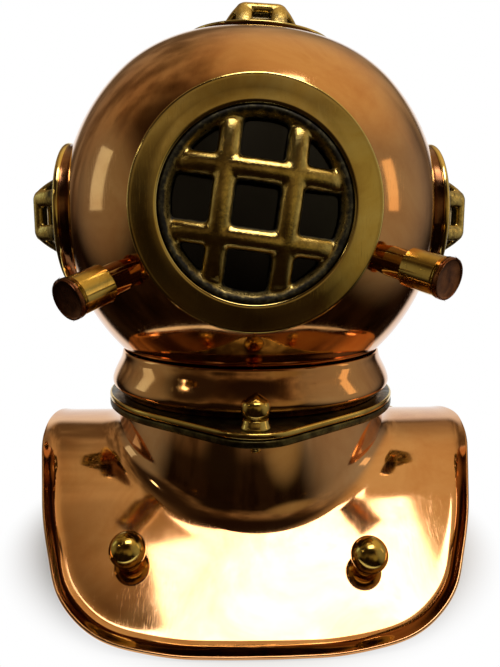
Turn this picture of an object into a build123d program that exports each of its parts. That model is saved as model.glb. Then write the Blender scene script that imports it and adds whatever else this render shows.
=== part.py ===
from build123d import *
from math import acos, asin, cos, degrees, radians, sin, sqrt, tan
import os

os.makedirs("parts", exist_ok=True)

# Driving sizes of the helmet, in millimetres and degrees
dome_radius = 61.5
dome_wall = 0.9
dome_cap_radius = 44.0
dome_cap_angle = 42.0
neck_radius = 42.6
neck_height = 14.04
neck_bore_step = 1.6
flange_margin = 6.2
flange_tip_radius = 15.0
flange_tip_margin = 5.4
joint_height = 49.6
upper_flange_thickness = 2.0
lower_flange_thickness = 2.2
ridge_height = 40.2
ridge_radius = 70.0
bib_slope = 36.3
bib_reach = 77.9
shoulder_half_width = 74.2
shoulder_shift = 1.3
sheet_wall = 1.0

# Clearances: a soldered or pressed seat, and a running fit
seat_gap = 0.05
running_gap = 0.05
overrun = 6.0

# Copper neck collar
collar_lip_rise = 0.4
collar_lip_wall = 1.6
collar_throat_drop = 3.1
collar_throat_wall = 2.2
collar_shoulder_drop = 5.0
collar_shoulder_wall = 4.4
collar_bulge_wall = 5.6
collar_foot_wall = 2.2
collar_wall = 0.9

# Raised neck boss of the corselet
boss_top_margin = 1.9
boss_bulge = 2.2
boss_bulge_drop = 11.0
boss_spread = 3.2
boss_foot_drop = 32.0
boss_wall = 1.0

# Turned up rim of the corselet
rim_height = 2.3
rim_wall = 1.1
gutter_width = 2.6
gutter_height = 0.9

# Stud, washer and finial nut at the front and the rear point of the clamp flanges
stud_clearance = 0.7
stud_radius = 1.5
stud_tail = 2.7
stud_rise = 6.9
stud_chamfer = 0.4
stud_hole_gap = 0.3
washer_radius = 4.3
washer_top_radius = 3.5
washer_edge = 0.7
washer_height = 2.8
finial_waist_radius = 3.4
finial_waist_height = 0.5
finial_ball_radius = 4.1
finial_cone_radius = 3.7
finial_cone_height = 2.6
finial_point_radius = 0.3
finial_bore_spare = 0.6

# Ball studs on the corselet
front_ball_radius = 5.0
rear_ball_radius = 4.2
ball_collar_radius = 2.6
ball_collar_height = 0.5
ball_shank_radius = 1.5
ball_shank_length = 5.2
nut_flats_radius = 3.1
nut_height = 2.2

# Front window: ring, guard, glass and retainer
front_ring_radius = 33.3
front_ring_lip = 1.8
front_rim_rise = 2.4
front_dish = 1.2
front_plate = 2.4
front_bore_radius = 25.4
front_guard_depth = 2.6
front_ledge_width = 2.4
front_ledge_thickness = 1.2
front_glass_thickness = 2.5
front_retainer_thickness = 1.6
front_spigot_wall = 2.0
front_window_tilt = 1.0
front_guard_twist = -7.8
front_guard_rim_wall = 2.3
front_guard_rim_top_share = 0.5
front_guard_rim_rise = 0.6
front_bar_spacing = 17.6
front_bar_width = 4.0
front_bar_depth = 3.2
front_guard_rise = 3.5
front_guard_dome_radius = 66.0

# Side and top windows share one pattern, and stand off the dome differently
port_ring_radius = 24.0
port_ring_lip = 1.6
port_dish = 1.1
port_plate = 2.0
port_bore_radius = 15.2
port_guard_depth = 2.0
port_ledge_width = 2.0
port_ledge_thickness = 1.0
port_glass_thickness = 2.0
port_retainer_thickness = 1.4
port_spigot_wall = 1.8
side_rim_rise = 4.78
top_rim_rise = 2.08
port_guard_rim_wall = 2.6
port_guard_rim_rise = 0.5
port_bar_spacing = 11.0
port_bar_width = 3.5
port_bar_depth = 2.6
port_guard_shoulder_share = 0.6
port_guard_rise = 10.3
top_window_tilt = 3.0

# Short pipes at the front, turned to the side by an angle past the front ring's edge
pipe_clear_angle = 5.72
left_pipe_elevation = -16.5
right_pipe_elevation = -12.7
pipe_stand = 18.5
sleeve_length = 10.75
pipe_radius = 4.2
pipe_bore_radius = 3.3
pipe_tail = 2.0
sleeve_radius = 5.3
sleeve_lip_radius = 5.6
sleeve_lip_length = 1.2
cap_thickness = 1.2
cap_recess = 0.4

# Goosenecks at the rear, raised by an angle over the dome's seam with its neck
gooseneck_azimuth = 130.0
gooseneck_yaw = 1.5
gooseneck_seam_angle = 16.16
gooseneck_radius = 4.2
gooseneck_bore_radius = 3.3
gooseneck_out = 7.0
gooseneck_bend = 9.0
gooseneck_drop = 11.0
gooseneck_collar_radius = 6.2
gooseneck_collar_height = 2.0
gooseneck_cap_radius = 5.5
gooseneck_cap_height = 4.0
gooseneck_cap_wall = 1.0

# Outline of the corselet seen from above: how far forward, how far sideways
front_outline_shares = [(0.2, 0.965), (0.37, 0.915), (0.49, 0.875), (0.62, 0.83), (0.73, 0.777),
                        (0.82, 0.714), (0.89, 0.635), (0.94, 0.53), (0.98, 0.36)]
rear_outline_shares = [(0.25, 0.995), (0.48, 0.98), (0.66, 0.945), (0.79, 0.875), (0.88, 0.775),
                       (0.94, 0.64), (0.98, 0.44)]

# Places of the ball studs: sideways against the shoulder, forward or back against the bib
ball_place_shares = {
    "front_left": (-0.4663, -0.7214),
    "front_right": (0.4084, -0.7445),
    "rear_left": (-0.775, 0.629),
    "rear_right": (0.849, 0.629),
}

# Derived places
upper_flange_top = joint_height + upper_flange_thickness
neck_top = upper_flange_top + neck_height
dome_height = neck_top + sqrt(dome_radius**2 - neck_radius**2)
dome_centre = Vector(0, 0, dome_height)
stud_reach = neck_radius + collar_bulge_wall + washer_radius + stud_clearance
flange_tip_reach = stud_reach + flange_tip_margin
flange_radius = neck_radius + flange_margin
neck_bore_radius = neck_radius - neck_bore_step
boss_top_radius = neck_radius + boss_top_margin
boss_bulge_radius = boss_top_radius + boss_bulge
boss_foot_radius = boss_top_radius + boss_spread
pipe_azimuth = degrees(asin(front_ring_radius / dome_radius)) + pipe_clear_angle
gooseneck_elevation = gooseneck_seam_angle - degrees(acos(neck_radius / dome_radius))
lower_flange_bottom = joint_height - lower_flange_thickness
ridge_centre_height = ridge_height - ridge_radius
slope = radians(bib_slope)

# Crown of the dome: spun flatter than the ball, round the top window's axis
cap_turn = radians(dome_cap_angle)
cap_side = (dome_radius - dome_cap_radius) * cos(cap_turn)
cap_lift = (dome_radius - dome_cap_radius) * sin(cap_turn)


def sphere_height(radius, ball_radius=dome_radius):
    """Height of a ball's surface over its centre, at a distance from the axis."""
    return sqrt(ball_radius**2 - radius**2)


def cap_height(radius, gap=0):
    """Height of the flatter crown over the dome's centre, at a distance from the top window's axis."""
    return cap_lift + sqrt((dome_cap_radius + gap)**2 - (radius - cap_side)**2)


def save(builder, name):
    """Label the finished piece and write it."""
    builder.part.label = name
    export_step(builder.part, f"parts/{name}.step")


def direction(azimuth, elevation):
    """Unit vector for an azimuth, counted from straight ahead towards the right, and an elevation."""
    turn = radians(azimuth)
    rise = radians(elevation)
    return Vector(sin(turn) * cos(rise), -cos(turn) * cos(rise), sin(rise))


# Windows: outward axis and the direction across each one, from the dome's centre
front_rise = radians(front_window_tilt)
front_axis = Vector(0, -cos(front_rise), sin(front_rise))
top_lean = radians(top_window_tilt)
top_axis = Vector(sin(top_lean), 0, cos(top_lean))
window_axes = {
    "front": (front_axis, Vector(1, 0, 0)),
    "left": (Vector(-1, 0, 0), Vector(0, -1, 0)),
    "right": (Vector(1, 0, 0), Vector(0, 1, 0)),
    "top": (top_axis, Vector(cos(top_lean), 0, -sin(top_lean))),
}


def face_plane(name):
    """Plane through the dome's centre that faces out of a window."""
    axis, across = window_axes[name]
    return Plane(origin=dome_centre, x_dir=across, z_dir=axis)


def section_plane(name):
    """Plane that cuts a window along its axis, with the axis as its upward direction."""
    axis, across = window_axes[name]
    return Plane(origin=dome_centre, x_dir=across, z_dir=across.cross(axis))


def seat_height(name, radius, gap=0):
    """Height of the dome's surface at a distance from a window's axis, with a gap over it."""
    if name == "top":
        return cap_height(radius, gap)
    return sphere_height(radius, dome_radius + gap)


def window_sizes(name):
    """Sizes of the ring, ledge and glass of one window, as distances from the dome's centre."""
    if name == "front":
        sizes = {
            "ring": front_ring_radius,
            "lip": front_ring_lip,
            "rim": sphere_height(front_ring_radius) + front_rim_rise,
            "dish": front_dish,
            "plate": front_plate,
            "bore": front_bore_radius,
            "guard_depth": front_guard_depth,
            "ledge": front_ledge_width,
            "ledge_thickness": front_ledge_thickness,
            "glass": front_glass_thickness,
            "retainer": front_retainer_thickness,
            "spigot_wall": front_spigot_wall,
        }
    else:
        sizes = {
            "ring": port_ring_radius,
            "lip": port_ring_lip,
            "rim": seat_height(name, port_ring_radius) + (top_rim_rise if name == "top" else side_rim_rise),
            "dish": port_dish,
            "plate": port_plate,
            "bore": port_bore_radius,
            "guard_depth": port_guard_depth,
            "ledge": port_ledge_width,
            "ledge_thickness": port_ledge_thickness,
            "glass": port_glass_thickness,
            "retainer": port_retainer_thickness,
            "spigot_wall": port_spigot_wall,
        }
    sizes["hole"] = sizes["ring"] - sizes["lip"]
    sizes["face"] = sizes["rim"] - sizes["dish"]
    sizes["plate_back"] = sizes["face"] - sizes["plate"]
    sizes["guard_back"] = sizes["face"] - sizes["guard_depth"]
    sizes["ledge_back"] = sizes["guard_back"] - sizes["ledge_thickness"]
    sizes["glass_back"] = sizes["ledge_back"] - sizes["glass"]
    sizes["back"] = sizes["glass_back"] - sizes["retainer"]
    sizes["ledge_radius"] = sizes["bore"] - sizes["ledge"]
    sizes["spigot"] = sizes["bore"] + sizes["spigot_wall"]
    return sizes


# Copper dome with its short neck, bored for the windows and the pipes
front_pipes = {
    "left": direction(-pipe_azimuth, left_pipe_elevation),
    "right": direction(pipe_azimuth, right_pipe_elevation),
}
rear_pipes = {
    "left": direction(-gooseneck_azimuth + gooseneck_yaw, gooseneck_elevation),
    "right": direction(gooseneck_azimuth + gooseneck_yaw, gooseneck_elevation),
}
neck_foot = upper_flange_top + seat_gap
inner_neck = neck_radius - dome_wall
inner_neck_top = dome_height - sphere_height(inner_neck, dome_radius - dome_wall)
with BuildPart() as bonnet_shell:
    for wall, mode in ((0, Mode.ADD), (dome_wall, Mode.SUBTRACT)):
        ball = dome_radius - wall
        with BuildSketch(section_plane("top")):
            with BuildLine():
                cap_start = (ball * cos(cap_turn), ball * sin(cap_turn))
                cap_middle = (cap_side, cap_height(cap_side, -wall))
                crown = (0, cap_height(0, -wall))
                ThreePointArc((0, -ball), (ball, 0), cap_start)
                ThreePointArc(cap_start, cap_middle, crown)
                Line(crown, (0, -ball))
            make_face()
        revolve(axis=Axis(dome_centre, top_axis), mode=mode)
    with BuildSketch(Plane.XY.offset(neck_top)):
        Circle(dome_radius + overrun)
    extrude(amount=-dome_radius, mode=Mode.SUBTRACT)
    with BuildSketch(Plane.XY.offset(neck_foot)):
        Circle(neck_radius)
    extrude(amount=neck_top - neck_foot)
    with BuildSketch(Plane.XY.offset(neck_foot)):
        Circle(inner_neck)
    extrude(amount=inner_neck_top - neck_foot, mode=Mode.SUBTRACT)
    for window_name in window_axes:
        with BuildSketch(face_plane(window_name)):
            Circle(window_sizes(window_name)["hole"])
        extrude(amount=dome_radius + overrun, mode=Mode.SUBTRACT)
    for pipe_axis in list(front_pipes.values()) + list(rear_pipes.values()):
        with BuildSketch(Plane(origin=dome_centre, z_dir=pipe_axis)):
            Circle(pipe_radius + seat_gap)
        extrude(amount=dome_radius + overrun, mode=Mode.SUBTRACT)
save(bonnet_shell, "bonnet_shell")

# Spun copper collar that bulges round the neck, soldered to the dome and the upper flange
with BuildPart() as neck_collar:
    lip_radius = neck_radius + seat_gap
    lip_top = neck_top + collar_lip_rise
    throat_height = neck_top - collar_throat_drop
    shoulder_height = neck_top - collar_shoulder_drop
    bulge_height = (shoulder_height + upper_flange_top) / 2
    with BuildSketch(Plane.XZ):
        with BuildLine():
            lip_outer = (neck_radius + collar_lip_wall, lip_top)
            throat = (neck_radius + collar_throat_wall, throat_height)
            shoulder = (neck_radius + collar_shoulder_wall, shoulder_height)
            bulge = (neck_radius + collar_bulge_wall, bulge_height)
            foot = (neck_radius + collar_foot_wall, upper_flange_top)
            ThreePointArc(lip_outer, throat, shoulder)
            ThreePointArc(shoulder, bulge, foot)
            inner_foot = (neck_radius + collar_foot_wall - collar_wall, upper_flange_top)
            inner_bulge = (neck_radius + collar_bulge_wall - collar_wall, bulge_height)
            inner_shoulder = (neck_radius + collar_shoulder_wall - collar_wall, shoulder_height - collar_wall)
            inner_throat = (neck_radius + collar_throat_wall - collar_wall, throat_height - collar_wall)
            lip_seat = sphere_height(dome_height - lip_top, dome_radius + seat_gap)
            Line(foot, inner_foot)
            ThreePointArc(inner_foot, inner_bulge, inner_shoulder)
            Polyline(inner_shoulder, inner_throat, (lip_radius, throat_height), (lip_radius, neck_top),
                     (lip_seat, lip_top), lip_outer)
        make_face()
    revolve(axis=Axis.Z)
save(neck_collar, "neck_collar")


def clamp_flange(name, bottom, thickness, hole_radius):
    """Brass clamp ring: a disc drawn out to a blunt point at the front and the rear."""
    with BuildPart() as clamp_ring:
        with BuildSketch(Plane.XY.offset(bottom)):
            Circle(flange_radius)
            tip_centre = flange_tip_reach - flange_tip_radius
            with Locations((0, tip_centre), (0, -tip_centre)):
                Circle(flange_tip_radius)
            make_hull()
            Circle(neck_bore_radius, mode=Mode.SUBTRACT)
            with Locations((0, stud_reach), (0, -stud_reach)):
                Circle(hole_radius, mode=Mode.SUBTRACT)
        extrude(amount=thickness)
    save(clamp_ring, name)


clamp_flange("bonnet_flange", joint_height, upper_flange_thickness, stud_radius + stud_hole_gap)
clamp_flange("corselet_flange", lower_flange_bottom, lower_flange_thickness, stud_radius + seat_gap)


def window_ring(name):
    """Turned brass ring: dished face, lip on the dome, and a spigot with a ledge for the glass."""
    size = window_sizes(name)
    hole_radius = size["hole"] - seat_gap
    middle = (size["ring"] + hole_radius) / 2
    hole_seat, middle_seat, ring_seat = (
        (radius, seat_height(name, radius, seat_gap)) for radius in (hole_radius, middle, size["ring"])
    )
    with BuildPart() as ring:
        with BuildSketch(section_plane(name)):
            with BuildLine():
                Polyline(
                    hole_seat,
                    (hole_radius, size["plate_back"]),
                    (size["spigot"], size["plate_back"]),
                    (size["spigot"], size["back"]),
                    (size["bore"], size["back"]),
                    (size["bore"], size["ledge_back"]),
                    (size["ledge_radius"], size["ledge_back"]),
                    (size["ledge_radius"], size["guard_back"]),
                    (size["bore"], size["guard_back"]),
                    (size["bore"], size["face"]),
                    (size["ring"] - size["lip"] / 2, size["rim"] - size["lip"] / 4),
                    (size["ring"] - size["lip"] / 3, size["rim"]),
                    (size["ring"], size["rim"] - size["lip"] / 4),
                    ring_seat,
                )
                ThreePointArc(ring_seat, middle_seat, hole_seat)
            make_face()
        revolve(axis=Axis(dome_centre, window_axes[name][0]))
    save(ring, f"{name}_window_ring")


def window_glass(name):
    """Flat glass behind the ledge, with its retaining ring pressed in after it."""
    size = window_sizes(name)
    glass_radius = size["bore"] - seat_gap
    with BuildPart() as glass:
        with BuildSketch(face_plane(name).offset(size["glass_back"] + seat_gap)):
            Circle(glass_radius)
        extrude(amount=size["glass"] - 2 * seat_gap)
    save(glass, f"{name}_window_glass")
    with BuildPart() as retainer:
        with BuildSketch(face_plane(name).offset(size["back"])):
            Circle(glass_radius)
            Circle(size["ledge_radius"], mode=Mode.SUBTRACT)
        extrude(amount=size["retainer"])
    save(retainer, f"{name}_glass_retainer")


def guard_bars(name, twist, spacing, width, height):
    """Two bars each way, as tall strips from the dome's centre that a guard's cap then trims."""
    with BuildPart() as strips:
        with BuildSketch(face_plane(name).rotated((0, 0, twist))):
            with Locations((spacing / 2, 0), (-spacing / 2, 0)):
                Rectangle(width, height)
            with Locations((0, spacing / 2), (0, -spacing / 2)):
                Rectangle(height, width)
        extrude(amount=height)
    return strips.part


def guard_rim(name, inner_top_share, wall, rise):
    """Rim wall of a guard, which stands on the ledge inside the window ring."""
    size = window_sizes(name)
    guard_radius = size["bore"] - seat_gap
    guard_bottom = size["guard_back"] + seat_gap
    rim_top = size["face"] + rise
    with BuildPart() as rim:
        with BuildSketch(section_plane(name)):
            with BuildLine():
                Polyline(
                    (guard_radius, guard_bottom),
                    (guard_radius, rim_top),
                    (guard_radius - inner_top_share * wall, rim_top),
                    (guard_radius - wall, guard_bottom),
                    close=True,
                )
            make_face()
        revolve(axis=Axis(dome_centre, window_axes[name][0]))
    return rim.part


def front_guard():
    """Cast guard of the front window: a rim wall and two bars each way that bow outwards."""
    size = window_sizes("front")
    axis = window_axes["front"][0]
    reach = size["bore"] - front_guard_rim_wall / 3
    bar_foot = size["guard_back"] + front_guard_rim_rise
    bars = guard_bars("front", front_guard_twist, front_bar_spacing, front_bar_width, dome_radius)
    bow_centre = dome_centre + axis * (size["rim"] + front_guard_rise - front_guard_dome_radius)
    with BuildPart() as guard:
        with Locations(bow_centre):
            Sphere(front_guard_dome_radius)
            Sphere(front_guard_dome_radius - front_bar_depth, mode=Mode.SUBTRACT)
        with BuildSketch(face_plane("front").offset(bar_foot)):
            Circle(reach)
        extrude(amount=dome_radius - bar_foot, mode=Mode.INTERSECT)
        add(bars, mode=Mode.INTERSECT)
        add(guard_rim("front", front_guard_rim_top_share, front_guard_rim_wall, front_guard_rim_rise))
    save(guard, "front_window_guard")


def port_guard(name):
    """Cast cage of a side or top window: a rim, and bars bent up to a flat top."""
    size = window_sizes(name)
    reach = size["rim"] + port_guard_rise
    guard_radius = size["bore"] - seat_gap
    rim_top = size["face"] + port_guard_rim_rise
    shoulder = port_guard_shoulder_share * guard_radius
    bars = guard_bars(name, 0, port_bar_spacing, port_bar_width, reach + overrun)
    with BuildPart() as guard:
        with BuildSketch(section_plane(name)):
            with BuildLine():
                Polyline(
                    (0, reach),
                    (shoulder, reach),
                    (guard_radius, rim_top),
                    (guard_radius - port_guard_rim_wall, rim_top - port_guard_rim_rise),
                    (shoulder - port_bar_depth / 2, reach - port_bar_depth),
                    (0, reach - port_bar_depth),
                    close=True,
                )
            make_face()
        revolve(axis=Axis(dome_centre, window_axes[name][0]))
        add(bars, mode=Mode.INTERSECT)
        add(guard_rim(name, 1, port_guard_rim_wall, port_guard_rim_rise))
    save(guard, f"{name}_window_guard")


for window_name in window_axes:
    window_ring(window_name)
    window_glass(window_name)
front_guard()
for window_name in ("left", "right", "top"):
    port_guard(window_name)

# Short capped pipes that stand out of the dome on both sides of the front window
pipe_reach = dome_radius + pipe_stand
pipe_end = pipe_reach - cap_thickness - seat_gap
for side, pipe_axis in front_pipes.items():
    pipe_plane = Plane(origin=dome_centre, z_dir=pipe_axis)
    with BuildPart() as pipe_tube:
        with BuildSketch(pipe_plane.offset(dome_radius - dome_wall - pipe_tail)):
            Circle(pipe_radius)
            Circle(pipe_bore_radius, mode=Mode.SUBTRACT)
        extrude(amount=pipe_end - dome_radius + dome_wall + pipe_tail)
    save(pipe_tube, f"{side}_pipe_tube")
    with BuildPart() as pipe_sleeve:
        with BuildSketch(pipe_plane.offset(pipe_end - sleeve_length)):
            Circle(sleeve_radius)
            Circle(pipe_radius + seat_gap, mode=Mode.SUBTRACT)
        extrude(amount=sleeve_length)
        with BuildSketch(pipe_plane.offset(pipe_end - sleeve_lip_length)):
            Circle(sleeve_lip_radius)
            Circle(pipe_radius + seat_gap, mode=Mode.SUBTRACT)
        extrude(amount=sleeve_lip_length)
    save(pipe_sleeve, f"{side}_pipe_sleeve")
    with BuildPart() as pipe_cap:
        with BuildSketch(pipe_plane.offset(pipe_end + seat_gap)):
            Circle(sleeve_lip_radius)
        extrude(amount=cap_thickness)
        with BuildSketch(pipe_plane.offset(pipe_reach - cap_recess)):
            Circle(pipe_radius)
        extrude(amount=cap_recess + overrun, mode=Mode.SUBTRACT)
    save(pipe_cap, f"{side}_pipe_cap")

# Goosenecks low on the back of the dome: straight out, then bent down to a capped end
for side, pipe_axis in rear_pipes.items():
    root = dome_centre + pipe_axis * (dome_radius - dome_wall - pipe_tail)
    corner = dome_centre + pipe_axis * (dome_radius + gooseneck_out)
    foot = corner - Vector(0, 0, gooseneck_drop)
    with BuildPart() as gooseneck:
        with BuildLine():
            FilletPolyline(root, corner, foot, radius=gooseneck_bend)
        with BuildSketch(Plane(origin=root, z_dir=pipe_axis)):
            Circle(gooseneck_radius)
            Circle(gooseneck_bore_radius, mode=Mode.SUBTRACT)
        sweep()
    save(gooseneck, f"{side}_gooseneck")
    across = Vector(0, 0, 1).cross(pipe_axis).normalized()
    seat_ball = dome_radius + seat_gap
    collar_bore = gooseneck_radius + seat_gap
    collar_middle = (collar_bore + gooseneck_collar_radius) / 2
    with BuildPart() as gooseneck_collar:
        with BuildSketch(Plane(origin=dome_centre, x_dir=across, z_dir=across.cross(pipe_axis))):
            with BuildLine():
                inner_seat = (collar_bore, sphere_height(collar_bore, seat_ball))
                middle_seat = (collar_middle, sphere_height(collar_middle, seat_ball))
                outer_seat = (gooseneck_collar_radius, sphere_height(gooseneck_collar_radius, seat_ball))
                collar_top = dome_radius + gooseneck_collar_height
                ThreePointArc(inner_seat, middle_seat, outer_seat)
                Polyline(
                    outer_seat,
                    (gooseneck_collar_radius, dome_radius),
                    (collar_middle, collar_top),
                    (collar_bore, collar_top),
                    inner_seat,
                )
            make_face()
        revolve(axis=Axis(dome_centre, pipe_axis))
    save(gooseneck_collar, f"{side}_gooseneck_collar")
    with BuildPart() as gooseneck_cap:
        with BuildSketch(Plane.XY.offset(foot.Z - gooseneck_cap_wall)):
            with Locations((foot.X, foot.Y)):
                Circle(gooseneck_cap_radius)
        extrude(amount=gooseneck_cap_height)
        with BuildSketch(Plane.XY.offset(foot.Z - seat_gap)):
            with Locations((foot.X, foot.Y)):
                Circle(gooseneck_radius + seat_gap)
        extrude(amount=gooseneck_cap_height, mode=Mode.SUBTRACT)
    save(gooseneck_cap, f"{side}_gooseneck_cap")


def saddle_height(reach, lift=0):
    """Height of the corselet's sheet at a distance from the ridge, raised square to the sheet by lift."""
    radius = ridge_radius + lift
    bend_reach = radius * sin(slope)
    bend_height = ridge_centre_height + radius * cos(slope)
    if abs(reach) < bend_reach:
        return ridge_centre_height + sqrt(radius**2 - reach**2)
    return bend_height - (abs(reach) - bend_reach) * tan(slope)


def saddle_line(lift, start):
    """Side view of the saddle at a lift, drawn from one end to the other; start is 1 or -1."""
    bend_reach = (ridge_radius + lift) * sin(slope)
    end_reach = bib_reach + overrun
    near_end = (start * end_reach, saddle_height(end_reach, lift))
    near_bend = (start * bend_reach, saddle_height(bend_reach, lift))
    far_bend = (-start * bend_reach, saddle_height(bend_reach, lift))
    far_end = (-start * end_reach, saddle_height(end_reach, lift))
    Line(near_end, near_bend)
    ThreePointArc(near_bend, (0, saddle_height(0, lift)), far_bend)
    Line(far_bend, far_end)
    return near_end, far_end


saddle_half_width = shoulder_half_width + shoulder_shift + overrun


def saddle_band(low, high):
    """Bent sheet between two lifts, wide enough for the outline to trim."""
    with BuildPart() as band:
        with BuildSketch(Plane.YZ.offset(-saddle_half_width)):
            with BuildLine():
                low_start, low_end = saddle_line(low, 1)
                high_start, high_end = saddle_line(high, -1)
                Line(low_end, high_start)
                Line(high_end, low_start)
            make_face()
        extrude(amount=2 * saddle_half_width)
    return band.part


def sheet_outline(inset):
    """Outline of the corselet sheet from above, drawn in by an inset all round."""
    half_width = shoulder_half_width - inset
    reach = bib_reach - inset
    right_shoulder = (shoulder_shift + half_width, 0)
    left_shoulder = (shoulder_shift - half_width, 0)
    with BuildSketch(Plane.XY.offset(-2 * overrun)) as outline:
        with BuildLine():
            for way, shares in ((-1, front_outline_shares), (1, rear_outline_shares)):
                right_points = []
                left_points = []
                for forward_share, width_share in shares:
                    shift = shoulder_shift * (1 - forward_share)
                    forward = way * forward_share * reach
                    right_points.append((shift + width_share * half_width, forward))
                    left_points.append((shift - width_share * half_width, forward))
                tip = (0, way * reach)
                Spline(
                    [right_shoulder] + right_points + [tip] + left_points[::-1] + [left_shoulder],
                    tangents=[(0, way), (0, -way)],
                )
        make_face()
    return outline.sketch


def space_over(inset, lift):
    """Space inside the inset outline and over the saddle at a lift, to hollow the tray in the rim."""
    with BuildPart() as space:
        add(sheet_outline(inset))
        extrude(amount=ridge_height + 4 * overrun)
        with BuildSketch(Plane.YZ.offset(-saddle_half_width)):
            with BuildLine():
                low_start, low_end = saddle_line(lift, 1)
                roof = ridge_height + 2 * overrun
                Polyline(low_end, (low_end[0], roof), (low_start[0], roof), low_start)
            make_face()
        extrude(amount=2 * saddle_half_width, mode=Mode.INTERSECT)
    return space.part


# Neck boss: a bell that stands on the saddle under the lower flange
boss_top = lower_flange_bottom
with BuildPart() as boss_core:
    with BuildSketch(Plane.XZ):
        with BuildLine():
            inner_top = (boss_top_radius - boss_wall, boss_top + overrun)
            inner_start = (boss_top_radius - boss_wall, boss_top)
            inner_bulge = (boss_bulge_radius - boss_wall, boss_top - boss_bulge_drop)
            inner_foot = (boss_foot_radius - boss_wall, boss_top - boss_foot_drop)
            ThreePointArc(inner_start, inner_bulge, inner_foot)
            Polyline(inner_foot, (0, boss_top - boss_foot_drop), (0, boss_top + overrun), inner_top,
                     inner_start)
        make_face()
    revolve(axis=Axis.Z)
with BuildPart() as boss_shell:
    with BuildSketch(Plane.XZ):
        with BuildLine():
            outer_start = (boss_top_radius, boss_top)
            outer_bulge = (boss_bulge_radius, boss_top - boss_bulge_drop)
            outer_foot = (boss_foot_radius, boss_top - boss_foot_drop)
            ThreePointArc(outer_start, outer_bulge, outer_foot)
            Line(outer_foot, inner_foot)
            ThreePointArc(inner_foot, inner_bulge, inner_start)
            Line(inner_start, outer_start)
        make_face()
    revolve(axis=Axis.Z)
    with BuildSketch(Plane.YZ.offset(-saddle_half_width)):
        with BuildLine():
            low_start, low_end = saddle_line(-sheet_wall, 1)
            Polyline(low_end, (low_end[0], boss_top), (low_start[0], boss_top), low_start)
        make_face()
    extrude(amount=2 * saddle_half_width, mode=Mode.INTERSECT)

# Ball studs: where each one stands on the sheet, facing square out of it
ball_studs = {}
for stud_name, (side_share, forward_share) in ball_place_shares.items():
    ball_studs[stud_name] = (
        side_share * shoulder_half_width,
        forward_share * bib_reach,
        rear_ball_radius if forward_share > 0 else front_ball_radius,
    )


def ball_plane(name):
    """Plane on the sheet's outer face under a ball stud."""
    across, forward, radius = ball_studs[name]
    way = 1 if forward > 0 else -1
    square = Vector(0, way * sin(slope), cos(slope))
    return Plane(origin=(across, forward, saddle_height(forward)), x_dir=(1, 0, 0), z_dir=square)


# Copper corselet: one bent sheet with its rim turned up, raised into the neck boss
with BuildPart() as corselet_shell:
    add(saddle_band(-sheet_wall, rim_height))
    add(sheet_outline(0))
    extrude(amount=ridge_height + 4 * overrun, mode=Mode.INTERSECT)
    with BuildSketch(Plane.XY):
        Rectangle(2 * saddle_half_width, 2 * (bib_reach + overrun))
    extrude(amount=-3 * overrun, mode=Mode.SUBTRACT)
    add(space_over(rim_wall, gutter_height), mode=Mode.SUBTRACT)
    add(space_over(rim_wall + gutter_width, 0), mode=Mode.SUBTRACT)
    add(boss_core.part, mode=Mode.SUBTRACT)
    add(boss_shell.part)
    for stud_name in ball_studs:
        with BuildSketch(ball_plane(stud_name).offset(-overrun)):
            Circle(ball_shank_radius + seat_gap)
        extrude(amount=2 * overrun, mode=Mode.SUBTRACT)
save(corselet_shell, "corselet_shell")

# Brass balls on the bibs, each with a collar and a threaded shank through the sheet
for stud_name, (across, forward, radius) in ball_studs.items():
    stud_plane = ball_plane(stud_name)
    with BuildPart() as ball_stud:
        with BuildSketch(stud_plane):
            Circle(ball_collar_radius)
        extrude(amount=ball_collar_height + radius / 2)
        with BuildSketch(stud_plane.offset(-ball_shank_length)):
            Circle(ball_shank_radius)
        extrude(amount=ball_shank_length)
        with Locations(stud_plane.offset(ball_collar_height + radius)):
            Sphere(radius)
    save(ball_stud, f"{stud_name}_ball_stud")

# Nuts that hold the balls from inside
with BuildPart() as ball_stud_nuts:
    for stud_name in ball_studs:
        with BuildSketch(ball_plane(stud_name).offset(-sheet_wall - seat_gap)):
            RegularPolygon(nut_flats_radius, side_count=6, major_radius=False)
            Circle(ball_shank_radius + seat_gap, mode=Mode.SUBTRACT)
        extrude(amount=-nut_height)
save(ball_stud_nuts, "ball_stud_nuts")

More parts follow.
